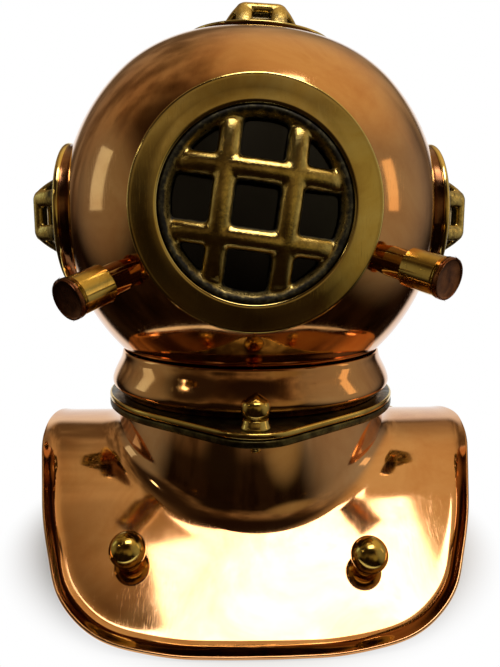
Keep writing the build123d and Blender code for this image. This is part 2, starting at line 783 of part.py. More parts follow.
# Clamp studs, with a washer and a pointed finial nut on each
nut_base = upper_flange_top + washer_height
stud_top = upper_flange_top + stud_rise
for end, way in (("front", -1), ("rear", 1)):
    stud_foot = (0, way * stud_reach)
    with BuildPart() as stud:
        with BuildSketch(Plane.XY.offset(lower_flange_bottom - stud_tail)):
            with Locations(stud_foot):
                Circle(stud_radius)
        extrude(amount=stud_tail + stud_top - lower_flange_bottom)
        chamfer(stud.faces().sort_by(Axis.Z)[0].edges(), length=stud_chamfer)
        chamfer(stud.faces().sort_by(Axis.Z)[-1].edges(), length=stud_chamfer)
    save(stud, f"{end}_stud")
    bore = stud_radius + running_gap
    stud_section = Plane(origin=(0, way * stud_reach, 0), x_dir=(1, 0, 0), z_dir=(0, -1, 0))
    stud_axis = Axis((0, way * stud_reach, 0), (0, 0, 1))
    with BuildPart() as washer:
        with BuildSketch(stud_section):
            with BuildLine():
                Polyline(
                    (bore, upper_flange_top),
                    (washer_radius, upper_flange_top),
                    (washer_radius, upper_flange_top + washer_edge),
                    (washer_top_radius, nut_base),
                    (bore, nut_base),
                    close=True,
                )
            make_face()
        revolve(axis=stud_axis)
    save(washer, f"{end}_washer")
    ball_foot = nut_base + finial_waist_height
    ball_middle = ball_foot + sphere_height(finial_waist_radius, finial_ball_radius)
    cone_foot = ball_middle + sphere_height(finial_cone_radius, finial_ball_radius)
    bore_top = stud_top + finial_bore_spare
    with BuildPart() as finial:
        with BuildSketch(stud_section):
            with BuildLine():
                Polyline(
                    (finial_cone_radius, cone_foot),
                    (finial_point_radius, cone_foot + finial_cone_height),
                    (0, cone_foot + finial_cone_height),
                    (0, bore_top),
                    (bore, bore_top),
                    (bore, nut_base),
                    (finial_waist_radius, nut_base),
                    (finial_waist_radius, ball_foot),
                )
                ThreePointArc(
                    (finial_waist_radius, ball_foot),
                    (finial_ball_radius, ball_middle),
                    (finial_cone_radius, cone_foot),
                )
            make_face()
        revolve(axis=stud_axis)
    save(finial, f"{end}_finial_nut")
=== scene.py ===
import bpy
import bmesh
from math import acos, atan2, cos, pi, radians, sin, sqrt, tan
from mathutils import Matrix, Vector, noise


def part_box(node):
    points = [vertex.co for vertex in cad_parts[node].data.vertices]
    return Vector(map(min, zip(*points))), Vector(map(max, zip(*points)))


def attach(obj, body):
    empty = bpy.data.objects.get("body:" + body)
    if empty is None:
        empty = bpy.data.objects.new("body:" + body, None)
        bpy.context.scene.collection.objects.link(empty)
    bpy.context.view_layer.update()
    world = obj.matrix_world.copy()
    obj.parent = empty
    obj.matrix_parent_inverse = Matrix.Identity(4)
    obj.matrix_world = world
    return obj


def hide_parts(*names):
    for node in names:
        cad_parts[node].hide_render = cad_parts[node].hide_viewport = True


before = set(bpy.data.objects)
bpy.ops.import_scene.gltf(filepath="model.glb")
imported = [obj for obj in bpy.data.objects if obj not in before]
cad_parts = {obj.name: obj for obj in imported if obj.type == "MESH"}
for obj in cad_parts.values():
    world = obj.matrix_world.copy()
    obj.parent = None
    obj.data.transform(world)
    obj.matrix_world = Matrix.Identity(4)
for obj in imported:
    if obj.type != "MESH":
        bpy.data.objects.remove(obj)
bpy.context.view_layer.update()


# Studio: the helmet stands on a round sheet of pale paper in a plain room, white behind it, dim in
# front and below, warm and brighter overhead and to the right. Polished metal shows whatever
# stands round it, so these soft changes of light give the copper its bright and dark bands.
mm = 0.001


def linear(shade):
    """Linear colour, with alpha, of an sRGB hex value."""
    channels = [int(shade[place:place + 2], 16) / 255 for place in (1, 3, 5)]
    return [c / 12.92 if c <= 0.04045 else ((c + 0.055) / 1.055) ** 2.4 for c in channels] + [1.0]


def add_node(tree, kind, links=None, stops=(), **settings):
    """Adds a node: settings are its properties or inputs by name, links join its inputs to sockets,
    and stops are the positions and sRGB hex values of a colour ramp."""
    node = tree.nodes.new(kind)
    for key, value in settings.items():
        if hasattr(node, key):
            setattr(node, key, value)
        else:
            node.inputs[key.replace("_", " ")].default_value = value
    for key, source in (links or {}).items():
        tree.links.new(source, node.inputs[key])
    while stops and len(node.color_ramp.elements) < len(stops):
        node.color_ramp.elements.new(0.5)
    for index, (position, shade) in enumerate(stops):
        node.color_ramp.elements[index].position = position
        node.color_ramp.elements[index].color = linear(shade)
    return node


scene = bpy.context.scene
scene.view_settings.view_transform = "Standard"
camera_data = bpy.data.cameras.new("camera")
camera = bpy.data.objects.new("camera", camera_data)
scene.collection.objects.link(camera)
focal_pixels = 626.0
long_side_pixels = 667.0
nearest_seen = 5 * mm
camera_pitch = radians(8.56)
camera_yaw = 0.026
camera_place = (-5.84, -217.6, 102.4)
camera_data.sensor_fit = "AUTO"
camera_data.sensor_width = 36.0
camera_data.lens = focal_pixels / long_side_pixels * camera_data.sensor_width
camera_data.clip_start = nearest_seen
camera.location = [place * mm for place in camera_place]
camera.rotation_euler = (pi / 2 - camera_pitch, 0, -camera_yaw)
scene.camera = camera

# The room's light by height, from floor to ceiling, shaded unevenly, as real walls are
world = bpy.data.worlds.new("studio room")
scene.world = world
world.use_nodes = True
room = world.node_tree
room.nodes.clear()
way = add_node(room, "ShaderNodeTexCoord").outputs["Generated"]
parts = add_node(room, "ShaderNodeSeparateXYZ", {0: way})
lift = add_node(room, "ShaderNodeMapRange", {0: parts.outputs["Z"]}, From_Min=-1.0, From_Max=1.0)
heights = add_node(room, "ShaderNodeValToRGB", {"Fac": lift.outputs[0]},
                   stops=((0.3, "#241B13"), (0.47, "#2A2118"), (0.51, "#5D5243"), (0.6, "#8B7F6B"),
                          (0.8, "#9C8B72"), (0.97, "#A89880")))
tall = add_node(room, "ShaderNodeMapping", {"Vector": way}, Scale=(1.0, 1.0, 0.4))
walls = add_node(room, "ShaderNodeTexNoise", {"Vector": tall.outputs[0]},
                 Scale=4.2, Detail=3.0, Roughness=0.6)
shades = add_node(room, "ShaderNodeValToRGB", {"Fac": walls.outputs["Fac"]},
                  stops=((0.32, "#867969"), (0.47, "#BCB1A1"), (0.6, "#FFF9EC")))
shaded = add_node(room, "ShaderNodeMix", {6: heights.outputs["Color"], 7: shades.outputs["Color"]},
                  data_type="RGBA", blend_type="MULTIPLY", Factor=1.0)
sky = shaded.outputs[2]

# Soft patches of the room: direction, degrees at full strength, degrees where it ends, colour
soft_spots = (((-0.7, -0.45, 0.62), 10, 40, "#2E241A"), ((0.0, -0.66, 0.75), 12, 33, "#241A12"),
              ((0.95, -0.1, 0.25), 10, 55, "#A6A39A"), ((0.36, 0.2, 0.91), 6, 48, "#E0C89C"),
              ((-0.98, 0.1, 0.14), 4, 34, "#8A8578"), ((0.42, -0.9, 0.1), 1, 20, "#968A68"),
              ((-0.42, -0.9, -0.02), 1, 20, "#1E170E"), ((0.026, 0.989, -0.149), 34, 42, "#FFFFFF"))
for toward, full, fade, shade in soft_spots:
    near = add_node(room, "ShaderNodeVectorMath", {0: way}, operation="DOT_PRODUCT")
    near.inputs[1].default_value = Vector(toward).normalized()
    inside = add_node(room, "ShaderNodeMapRange", {0: near.outputs["Value"]},
                      interpolation_type="SMOOTHSTEP",
                      From_Min=cos(radians(fade)), From_Max=cos(radians(full)))
    spot = add_node(room, "ShaderNodeMix", {0: inside.outputs[0], 6: sky}, data_type="RGBA")
    spot.inputs[7].default_value = linear(shade)
    sky = spot.outputs[2]
air = add_node(room, "ShaderNodeBackground", {"Color": sky}, Strength=1.0)
add_node(room, "ShaderNodeOutputWorld", {"Surface": air.outputs[0]})


def lamp(name, spot, aim, size, radiance, shade):
    """Soft box: a rectangular area lamp at a spot, turned to a point, as bright as its radiance."""
    light = bpy.data.lights.new(name, "AREA")
    light.shape = "RECTANGLE"
    light.size, light.size_y = (side * mm for side in size)
    light.energy = radiance * pi * light.size * light.size_y
    light.color = linear(shade)[:3]
    box = bpy.data.objects.new(name, light)
    box.location = Vector(spot) * mm
    box.rotation_euler = (Vector(aim) - Vector(spot)).to_track_quat("-Z", "Y").to_euler()
    scene.collection.objects.link(box)
    box.visible_camera = False


# Place, point to shine at, width and height, all in mm; then radiance and colour
lamp("lamp over the bib", (72, -236, 636), (32, -70, 10), (345, 205), 6.0, "#F8F6FF")
lamp("small lamp", (-420, -260, 360), (0, -40, 70), (50, 40), 6.0, "#FFF4DC")
lamp("left window lamp", (-600, 70, 260), (0, 0, 110), (130, 250), 0.8, "#CFE6E8")
lamp("right window lamp", (600, -70, 240), (0, 0, 90), (90, 220), 0.9, "#FFE2B8")

# Matt pale paper: it shows plain, with the helmet's soft shadow, near the helmet, and further off
# it glows white, so that its edge is lost in the white behind it
paper_radius = 105 * mm
paper_set_back = 16 * mm
shadow_ends = (62 * mm, 88 * mm)
floor_mesh = bmesh.new()
bmesh.ops.create_circle(floor_mesh, cap_ends=True, segments=96, radius=paper_radius,
                        matrix=Matrix.Translation((0, paper_set_back, 0)))
floor_data = bpy.data.meshes.new("floor")
floor_mesh.to_mesh(floor_data)
floor_mesh.free()
floor = bpy.data.objects.new("floor", floor_data)
scene.collection.objects.link(floor)
paper = bpy.data.materials.new("pale paper that fades into the backdrop")
paper.use_nodes = True
paper_tree = paper.node_tree
matt = paper_tree.nodes["Principled BSDF"]
matt.inputs["Roughness"].default_value = 0.8
matt.inputs["Base Color"].default_value = linear("#F1EEE9")
floor_place = add_node(paper_tree, "ShaderNodeTexCoord").outputs["Object"]
distance = add_node(paper_tree, "ShaderNodeVectorMath", {0: floor_place}, operation="LENGTH")
far = add_node(paper_tree, "ShaderNodeMapRange", {0: distance.outputs["Value"]},
               interpolation_type="SMOOTHSTEP", From_Min=shadow_ends[0], From_Max=shadow_ends[1])
ray = add_node(paper_tree, "ShaderNodeLightPath").outputs
direct = add_node(paper_tree, "ShaderNodeMath", {0: ray["Is Camera Ray"], 1: ray["Is Glossy Ray"]},
                  operation="MAXIMUM")
seen = add_node(paper_tree, "ShaderNodeMath", {0: direct.outputs[0], 1: ray["Is Transmission Ray"]},
                operation="MAXIMUM")
glow = add_node(paper_tree, "ShaderNodeMath", {0: far.outputs[0], 1: seen.outputs[0]},
                operation="MULTIPLY")
white = add_node(paper_tree, "ShaderNodeEmission", Strength=1.0)
white.inputs["Color"].default_value = linear("#FFFFFF")
both = add_node(paper_tree, "ShaderNodeMixShader",
                {0: glow.outputs[0], 1: matt.outputs[0], 2: white.outputs[0]})
paper_tree.links.new(both.outputs[0], paper_tree.nodes["Material Output"].inputs["Surface"])
floor_data.materials.append(paper)


# Dome: copper sheet spun to a ball over a form, planished, buffed to a mirror and lacquered.
# Four windows are cut out of it. The polish shows faint waves, fine cloth scratches and slow
# patches of brown tarnish; inside it is left dull, and painted near black as shade.
dome_centre = Vector((0, 0, 110.0))
dome_radius = 61.5
dome_wall = 0.9
neck_radius = 42.6
neck_foot = 51.65
front_tilt = radians(1.0)
top_lean = radians(3.0)
top_axis = Vector((sin(top_lean), 0, cos(top_lean)))
window_axes = {
    "front": (Vector((0, -cos(front_tilt), sin(front_tilt))), Vector((1, 0, 0))),
    "left": (Vector((-1, 0, 0)), Vector((0, -1, 0))),
    "right": (Vector((1, 0, 0)), Vector((0, 1, 0))),
    "top": (top_axis, Vector((cos(top_lean), 0, -sin(top_lean)))),
}
window_holes = {"front": 31.5, "left": 22.4, "right": 22.4, "top": 22.4}

# The crown is spun flatter than a ball: its radius, and the angle over the horizon where it starts
cap_radius = 44.0
cap_turn = radians(42.0)
cap_side = (dome_radius - cap_radius) * cos(cap_turn)
cap_lift = (dome_radius - cap_radius) * sin(cap_turn)


def put(bm, name, body, slot, materials, *nodes):
    """Makes a bmesh in millimetres a smooth piece that rides on a body and stands for CAD nodes."""
    bmesh.ops.scale(bm, vec=(mm, mm, mm), verts=bm.verts[:])
    data = bpy.data.meshes.new(name)
    bm.to_mesh(data)
    bm.free()
    data.polygons.foreach_set("use_smooth", [True] * len(data.polygons))
    piece = bpy.data.objects.new(name, data)
    scene.collection.objects.link(piece)
    for material in materials:
        data.materials.append(material)
    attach(piece, body)
    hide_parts(*nodes)
    return piece


def modifier(piece, kind, **settings):
    """Adds a modifier with its settings."""
    added = piece.modifiers.new(kind.title(), kind)
    for key, value in settings.items():
        setattr(added, key, value)


def metal(name, colours, grain, roughness, waves, scratch_depth):
    """Polished metal, with sizes in mm: colour patches of a grain, roughness that is smeared within
    its two limits, slow waves of a length and a depth, and cloth scratches of a depth."""
    # Real cloth scratches are far finer: these are drawn as coarse as they need to be to show
    scratch_width, scratch_length = 0.12 * mm, 6 * mm
    wave_length, wave_depth = waves
    made = bpy.data.materials.new(name)
    made.use_nodes = True
    tree = made.node_tree
    shader = tree.nodes["Principled BSDF"]
    place = add_node(tree, "ShaderNodeTexCoord").outputs["Object"]
    patches = add_node(tree, "ShaderNodeTexNoise", {"Vector": place}, Scale=1 / (grain * mm),
                       Detail=5.0, Roughness=0.6, Distortion=0.6)
    tint = add_node(tree, "ShaderNodeValToRGB", {"Fac": patches.outputs["Fac"]}, stops=colours)
    tree.links.new(tint.outputs["Color"], shader.inputs["Base Color"])
    smear = add_node(tree, "ShaderNodeTexNoise", {"Vector": place}, Scale=1 / (grain * 0.4 * mm),
                     Detail=6.0, Roughness=0.7)
    rough = add_node(tree, "ShaderNodeMapRange", {0: smear.outputs["Fac"]}, From_Min=0.3,
                     From_Max=0.75, To_Min=roughness[0], To_Max=roughness[1])
    tree.links.new(rough.outputs[0], shader.inputs["Roughness"])
    shader.inputs["Metallic"].default_value = 1.0
    swell = add_node(tree, "ShaderNodeTexNoise", {"Vector": place}, Scale=1 / (wave_length * mm),
                     Detail=1.0)
    slow = add_node(tree, "ShaderNodeBump", {"Height": swell.outputs["Fac"]}, Strength=1.0,
                    Distance=wave_depth * mm)
    normal = slow.outputs[0]
    for turn in ((0.2, 0.5, 0.9), (1.1, 2.0, 0.3), (2.4, 0.4, 1.7)):
        lie = add_node(tree, "ShaderNodeMapping", {"Vector": place}, Rotation=turn,
                       Scale=(1 / scratch_width, 1 / scratch_length, 1 / scratch_length))
        scratch = add_node(tree, "ShaderNodeTexNoise", {"Vector": lie.outputs[0]}, Scale=1.0,
                           Detail=2.0)
        cut = add_node(tree, "ShaderNodeMapRange", {0: scratch.outputs["Fac"]}, From_Min=0.66,
                       From_Max=0.74, To_Min=1.0, To_Max=0.0)
        fine = add_node(tree, "ShaderNodeBump", {"Height": cut.outputs[0], "Normal": normal},
                        Strength=1.0, Distance=scratch_depth * mm)
        normal = fine.outputs[0]
    tree.links.new(normal, shader.inputs["Normal"])
    return made


# Copper sheet buffed to a mirror and lacquered: warm orange, with slow patches and faint waves
polished_copper = metal("buffed copper sheet",
                        ((0.25, "#C08048"), (0.45, "#D3965A"), (0.62, "#DEA568"), (0.8, "#D09150")),
                        grain=22, roughness=(0.05, 0.12), waves=(18, 0.04), scratch_depth=0.002)

# The same copper as it leaves the former, never polished and nearly matt. Its near-black brown is
# painted shade, for the unlit inside of the dome and the underside of the corselet
dull_copper_painted_shade = metal("dull copper inside, painted dark as shade", ((0.3, "#2E1C12"), (0.7, "#4A2D1C")),
                     grain=12, roughness=(0.45, 0.7), waves=(9, 0.05), scratch_depth=0.01)


def z_onto(axis):
    """Rotation that turns Z onto an axis."""
    return axis.to_track_quat("Z", "Y").to_matrix().to_4x4()


def seat_height(name, radius):
    """Height of the dome's surface over its centre along a window's axis; the crown is flatter."""
    if name == "top":
        return cap_lift + sqrt(cap_radius**2 - (radius - cap_side)**2)
    return sqrt(dome_radius**2 - radius**2)


def cut_off(bm, point, direction):
    """Cuts off what lies past a point in a direction."""
    bmesh.ops.bisect_plane(bm, geom=bm.verts[:] + bm.edges[:] + bm.faces[:], dist=1e-5,
                           plane_co=point, plane_no=direction, clear_outer=True)


def verts_of(geometry):
    """The vertices in what an operator returned."""
    return [g for g in geometry if isinstance(g, bmesh.types.BMVert)]


dome = bmesh.new()
bmesh.ops.create_uvsphere(dome, u_segments=200, v_segments=100, radius=dome_radius)
dome.transform(z_onto(top_axis))
for v in dome.verts:
    height = v.co.dot(top_axis)
    if height > dome_radius * sin(cap_turn):
        outward = v.co - top_axis * height
        outward.normalize()
        lean = acos(min(1.0, height / dome_radius))
        v.co = (outward * (cap_side + cap_radius * sin(lean))
                + top_axis * (cap_lift + cap_radius * cos(lean)))
bmesh.ops.translate(dome, vec=dome_centre, verts=dome.verts[:])
neck_top = dome_centre.z - sqrt(dome_radius**2 - neck_radius**2)
cut_off(dome, (0, 0, neck_top), (0, 0, -1))
for name, (axis, _) in window_axes.items():
    cut_off(dome, dome_centre + axis * seat_height(name, window_holes[name]), axis)
neck_edges = [e for e in dome.edges
              if e.is_boundary and all(abs(v.co.z - neck_top) < 0.01 for v in e.verts)]
drawn = bmesh.ops.extrude_edge_only(dome, edges=neck_edges)["geom"]
bmesh.ops.translate(dome, vec=(0, 0, neck_foot - neck_top), verts=verts_of(drawn))
bmesh.ops.recalc_face_normals(dome, faces=dome.faces[:])
# Outside, the buffed copper; inside, the dull copper, painted dark as shade
dome_piece = put(dome, "copper_dome", "bonnet", "copper_sheet", [polished_copper, dull_copper_painted_shade],
                 "bonnet_shell")
modifier(dome_piece, "SOLIDIFY", thickness=dome_wall * mm, offset=-1.0, material_offset=1)


# Neck collar: a second spun copper piece soldered under the dome. A rolled lip hugs the dome, a
# hollow throat runs under it, and the wall swells out and turns in again over the clamp flange.
def turned(profile, matrix=None, steps=160, closed=False):
    """Spins a profile of (radius, height) points about Z and places it by a matrix."""
    bm = bmesh.new()
    verts = [bm.verts.new((r, 0, z)) for r, z in profile]
    ends = list(zip(verts, verts[1:])) + ([(verts[-1], verts[0])] if closed else [])
    edges = [bm.edges.new(pair) for pair in ends]
    bmesh.ops.spin(bm, geom=verts + edges, cent=(0, 0, 0), axis=(0, 0, 1), angle=2 * pi,
                   steps=steps, use_merge=True)
    bmesh.ops.remove_doubles(bm, verts=bm.verts[:], dist=1e-4)
    bmesh.ops.recalc_face_normals(bm, faces=bm.faces[:])
    if matrix is not None:
        bm.transform(matrix)
    return bm


def soften(bm, width, segments=3, sharp=radians(25)):
    """Rounds every edge that is sharper than an angle."""
    edges = [e for e in bm.edges if len(e.link_faces) == 2 and e.calc_face_angle(0) > sharp]
    bmesh.ops.bevel(bm, geom=edges, affect="EDGES", offset=width, segments=segments, profile=0.5,
                    material=-1, clamp_overlap=True)


collar_outer = [(43.25, 65.7), (43.7, 65.95), (44.1, 65.5), (44.25, 64.6), (44.5, 63.4),
                (45.1, 62.0), (45.9, 60.6), (46.75, 58.9), (47.45, 57.2), (47.75, 55.7),
                (47.4, 54.4), (46.2, 53.5), (44.9, 53.0), (44.6, 51.65)]
collar_inner = [(43.7, 51.65), (43.9, 53.4), (45.4, 54.3), (46.5, 55.2), (46.8, 55.9), (46.5, 57.0),
                (45.8, 58.7), (44.9, 60.4), (43.7, 62.2), (43.1, 63.6)]
collar = turned(collar_outer + collar_inner, closed=True, steps=96)
collar_piece = put(collar, "copper_neck_collar", "bonnet", "copper_sheet", [polished_copper],
                   "neck_collar")
modifier(collar_piece, "SUBSURF", levels=2, render_levels=2)


# Clamp flanges: two rings sawn from brass plate, drawn out to a blunt point at the front and the
# rear. Their edges are filed round. Their flat faces, and the whole lower one, are painted dark as
# shade, and green oxide sits in the corner under the lower one.
flange_radius = 48.8
flange_tip_reach = 58.6
flange_tip_radius = 15.0
neck_bore = 41.0
stud_reach = 53.2

# Brass off the lathe, buffed but handled since: dull gold, with patches that go olive
turned_brass = metal("buffed turned brass",
                     ((0.25, "#A8853E"), (0.45, "#C9A450"), (0.65, "#D8B762"), (0.85, "#B9A04A")),
                     grain=14, roughness=(0.07, 0.2), waves=(12, 0.03), scratch_depth=0.004)

# Plate brass, brown-black as painted shade for the flange faces that lie in shade, with a bloom of
# green oxide
brass_oxide_and_painted_shade = metal("plate brass with oxide and painted shade",
                   ((0.25, "#241D10"), (0.45, "#43391F"), (0.6, "#6B6038"), (0.8, "#626A50")),
                   grain=7, roughness=(0.25, 0.5), waves=(8, 0.04), scratch_depth=0.006)


def flange_outline(steps=160):
    """Points of the lemon outline, by the angle round the neck."""
    tip_centre = flange_tip_reach - flange_tip_radius
    touch = acos((flange_radius - flange_tip_radius) / tip_centre)
    tip_touch = atan2(flange_tip_radius * sin(touch), tip_centre + flange_tip_radius * cos(touch))
    points = []
    for index in range(steps):
        angle = 2 * pi * index / steps
        off = atan2(abs(cos(angle)), abs(sin(angle)))
        if off >= touch:
            reach = flange_radius
        elif off >= tip_touch:
            reach = flange_radius / cos(touch - off)
        else:
            reach = tip_centre * cos(off) + sqrt(flange_tip_radius**2 - (tip_centre * sin(off))**2)
        points.append((reach * cos(angle), reach * sin(angle)))
    return points


def clamp_flange(name, node, body, bottom, thickness, edge, hole, materials):
    """Plate with the lemon outline, the neck's bore and a hole at both points."""
    plate = bmesh.new()
    loops = [flange_outline()]
    for reach, radius, steps in ((0, neck_bore, 120), (stud_reach, hole, 24),
                                 (-stud_reach, hole, 24)):
        loops.append([(radius * cos(2 * pi * i / steps), reach + radius * sin(2 * pi * i / steps))
                      for i in range(steps)])
    for loop in loops:
        verts = [plate.verts.new((x, y, bottom)) for x, y in loop]
        for first, second in zip(verts, verts[1:] + verts[:1]):
            plate.edges.new((first, second))
    bmesh.ops.triangle_fill(plate, use_beauty=True, use_dissolve=False, edges=plate.edges[:])
    lifted = bmesh.ops.extrude_face_region(plate, geom=plate.faces[:], use_keep_orig=True)["geom"]
    bmesh.ops.translate(plate, vec=(0, 0, thickness), verts=verts_of(lifted))
    bmesh.ops.recalc_face_normals(plate, faces=plate.faces[:])
    soften(plate, edge, sharp=radians(60))
    # Flat top and bottom faces take the second material: the darker brass, painted shade
    for face in plate.faces:
        face.material_index = 1 if abs(face.normal.z) > 0.99 else 0
    piece = put(plate, name, body, "turned_brass", materials, node)
    modifier(piece, "WEIGHTED_NORMAL", keep_sharp=True)


clamp_flange("upper_clamp_flange", "bonnet_flange", "bonnet", bottom=49.75, thickness=1.85,
             edge=0.6, hole=1.8, materials=[turned_brass, brass_oxide_and_painted_shade])
# The lower flange is all in the darker brass: painted shade, with some green oxide
clamp_flange("lower_clamp_flange", "corselet_flange", "corselet", bottom=47.4, thickness=2.1,
             edge=0.5, hole=1.5, materials=[brass_oxide_and_painted_shade, brass_oxide_and_painted_shade])


# Window rings: cast brass rings turned on a lathe, with a polished face that falls off a little
# towards a thin bead, soldered to the dome. The side and top rings are browned by age, and their
# copper hue is partly a painted reflection of the dome's copper.
def aim(name):
    """Matrix of a window: Z out of it from the dome's centre, X across it."""
    axis, across = window_axes[name]
    side = axis.cross(across)
    turn = Matrix((across, side, axis)).transposed().to_4x4()
    return Matrix.Translation(dome_centre) @ turn


def window_ring(name, material, radius, bore, rim, dish, ledge, guard_depth, back):
    """Ring: wall up from the dome, bead, face that falls outwards, bore, ledge and spigot."""
    face = rim - dish
    ledge_top = face - guard_depth
    ledge_foot = ledge_top - 1.2
    spigot = bore + 1.8
    bead_top = rim - 0.6
    if name == "front":
        wall = radius
        bead = [(radius, rim - 1.1), (radius - 0.25, rim - 0.7), (radius - 0.8, bead_top),
                (radius - 1.3, rim - 0.72)]
    else:
        fat = 0.5 if name == "top" else 1.15
        wall = radius - 0.6 * fat
        bead = [(wall, bead_top - 2.1 * fat)]
        bead += [(radius - fat + fat * cos(a), bead_top - fat + fat * sin(a))
                 for a in (radians(22.5 * i - 45) for i in range(7))]
    foot = [(radius - 1.0, seat_height(name, radius - 1.0) - 0.4),
            (wall, seat_height(name, radius) - 0.2)]
    inside = [((radius + bore) / 2, rim - 0.42), (bore + 1.2, rim - 0.2), (bore + 0.4, rim - 0.35),
              (bore, rim - 0.9), (bore, ledge_top), (bore - ledge, ledge_top),
              (bore - ledge, ledge_foot), (bore, ledge_foot), (bore, back), (spigot, back),
              (spigot, face - 2.4)]
    ring = turned(foot + bead + inside, aim(name), steps=180, closed=True)
    soften(ring, 0.12, segments=2, sharp=radians(50))
    bright_depth = 1.3 if name == "top" else 2.7
    for f in ring.faces:
        height = (f.calc_center_median() - dome_centre).dot(window_axes[name][0])
        f.material_index = 1 if height > rim - bright_depth or name == "front" else 0
    piece = put(ring, f"{name}_brass_ring", "bonnet", "turned_brass", [material, ring_brass],
                f"{name}_window_ring")
    modifier(piece, "WEIGHTED_NORMAL", keep_sharp=True)


# Brass faced on the lathe and kept bright: pale gold that mirrors the room in one broad sheen
ring_brass = metal("turned brass, front ring",
                   ((0.25, "#C79F4E"), (0.45, "#E0BE68"), (0.65, "#EACF80"), (0.85, "#C9B458")),
                   grain=16, roughness=(0.06, 0.16), waves=(9, 0.06), scratch_depth=0.003)

# The same brass browned with age at the side and top windows, a little satin. Its copper brown is
# partly a painted reflection of the dome's copper
browned_brass_and_painted_reflection = metal("browned turned brass with a painted copper reflection",
                    ((0.25, "#5A3A22"), (0.45, "#7E5232"), (0.65, "#96683E"), (0.85, "#6C4A2A")),
                    grain=9, roughness=(0.1, 0.26), waves=(12, 0.03), scratch_depth=0.004)

port_rims = {"left": 61.4, "right": 61.4, "top": 56.38}
port_backs = {"left": 53.9, "right": 53.9, "top": 48.9}
port_dish = 1.1
window_ring("front", ring_brass, radius=33.3, bore=25.4, rim=54.1, dish=1.0, ledge=2.4,
            guard_depth=2.6, back=45.0)
# Walls of the side and top rings take the browned brass, its copper hue partly a painted reflection
for name, rim in port_rims.items():
    window_ring(name, browned_brass_and_painted_reflection, radius=24.0, bore=15.2, rim=rim, dish=port_dish, ledge=2.0,
                guard_depth=2.0, back=port_backs[name])


# Window guards: sand-cast brass grilles, filed round the rim and buffed only on the tops of the
# bars. Black and green oxide is left in the corners that the buff can't reach.
def cast_metal(name, window, low, high, rim_reach, bow_centre=None):
    """Sand-cast brass: bright gold where a buff reached it, from low to high over the bow's centre
    or along the window's axis, and black and green with a sandy skin below that and at the rim."""
    spot_size, sand_grain, sand_depth = 2.2 * mm, 0.7 * mm, 0.12 * mm
    rim_fade = 2.6
    made = bpy.data.materials.new(name)
    made.use_nodes = True
    tree = made.node_tree
    shader = tree.nodes["Principled BSDF"]
    place = add_node(tree, "ShaderNodeTexCoord").outputs["Object"]
    axis = window_axes[window][0]
    bowed = bow_centre is not None
    away = add_node(tree, "ShaderNodeVectorMath", {0: place},
                    operation="DISTANCE" if bowed else "DOT_PRODUCT")
    away.inputs[1].default_value = bow_centre * mm if bowed else axis
    high_up = add_node(tree, "ShaderNodeMapRange", {0: away.outputs["Value"]},
                       From_Min=low * mm, From_Max=high * mm)
    from_centre = add_node(tree, "ShaderNodeVectorMath", {0: place}, operation="SUBTRACT")
    from_centre.inputs[1].default_value = dome_centre * mm
    aside = add_node(tree, "ShaderNodeVectorMath", {0: from_centre.outputs[0]},
                     operation="CROSS_PRODUCT")
    aside.inputs[1].default_value = axis
    off_axis = add_node(tree, "ShaderNodeVectorMath", {0: aside.outputs[0]}, operation="LENGTH")
    clear = add_node(tree, "ShaderNodeMapRange", {0: off_axis.outputs["Value"]},
                     From_Min=rim_reach * mm, From_Max=(rim_reach - rim_fade) * mm)
    proud = add_node(tree, "ShaderNodeMath", {0: high_up.outputs[0], 1: clear.outputs[0]},
                     operation="MULTIPLY")
    spots = add_node(tree, "ShaderNodeTexNoise", {"Vector": place}, Scale=1 / spot_size,
                     Detail=6.0, Roughness=0.7)
    mixed = add_node(tree, "ShaderNodeMath", {0: proud.outputs[0], 1: spots.outputs["Fac"]},
                     operation="ADD")
    worn = add_node(tree, "ShaderNodeMapRange", {0: mixed.outputs[0]}, From_Min=0.6, From_Max=1.0)
    bright = add_node(tree, "ShaderNodeValToRGB", {"Fac": spots.outputs["Fac"]},
                      stops=((0.35, "#B4954C"), (0.6, "#DCBC68"), (0.75, "#EACF80")))
    dull = add_node(tree, "ShaderNodeValToRGB", {"Fac": spots.outputs["Fac"]},
                    stops=((0.3, "#14110B"), (0.48, "#332D1D"), (0.6, "#5C5638"), (0.75, "#8C8864")))
    skin = add_node(tree, "ShaderNodeMix", {0: worn.outputs[0], 6: dull.outputs["Color"],
                                            7: bright.outputs["Color"]}, data_type="RGBA")
    tree.links.new(skin.outputs[2], shader.inputs["Base Color"])
    rough = add_node(tree, "ShaderNodeMapRange", {0: worn.outputs[0]}, To_Min=0.6, To_Max=0.15)
    tree.links.new(rough.outputs[0], shader.inputs["Roughness"])
    bare = add_node(tree, "ShaderNodeMapRange", {0: worn.outputs[0]}, To_Min=0.45, To_Max=1.0)
    tree.links.new(bare.outputs[0], shader.inputs["Metallic"])
    sand = add_node(tree, "ShaderNodeTexNoise", {"Vector": place}, Scale=1 / sand_grain,
                    Detail=4.0, Roughness=0.7)
    pits = add_node(tree, "ShaderNodeBump", {"Height": sand.outputs["Fac"]}, Strength=0.7,
                    Distance=sand_depth)
    tree.links.new(pits.outputs[0], shader.inputs["Normal"])
    return made


def join(bm, extra):
    """Adds one bmesh to another and frees it."""
    spare = bpy.data.meshes.new("spare")
    extra.to_mesh(spare)
    extra.free()
    bm.from_mesh(spare)
    bpy.data.meshes.remove(spare)


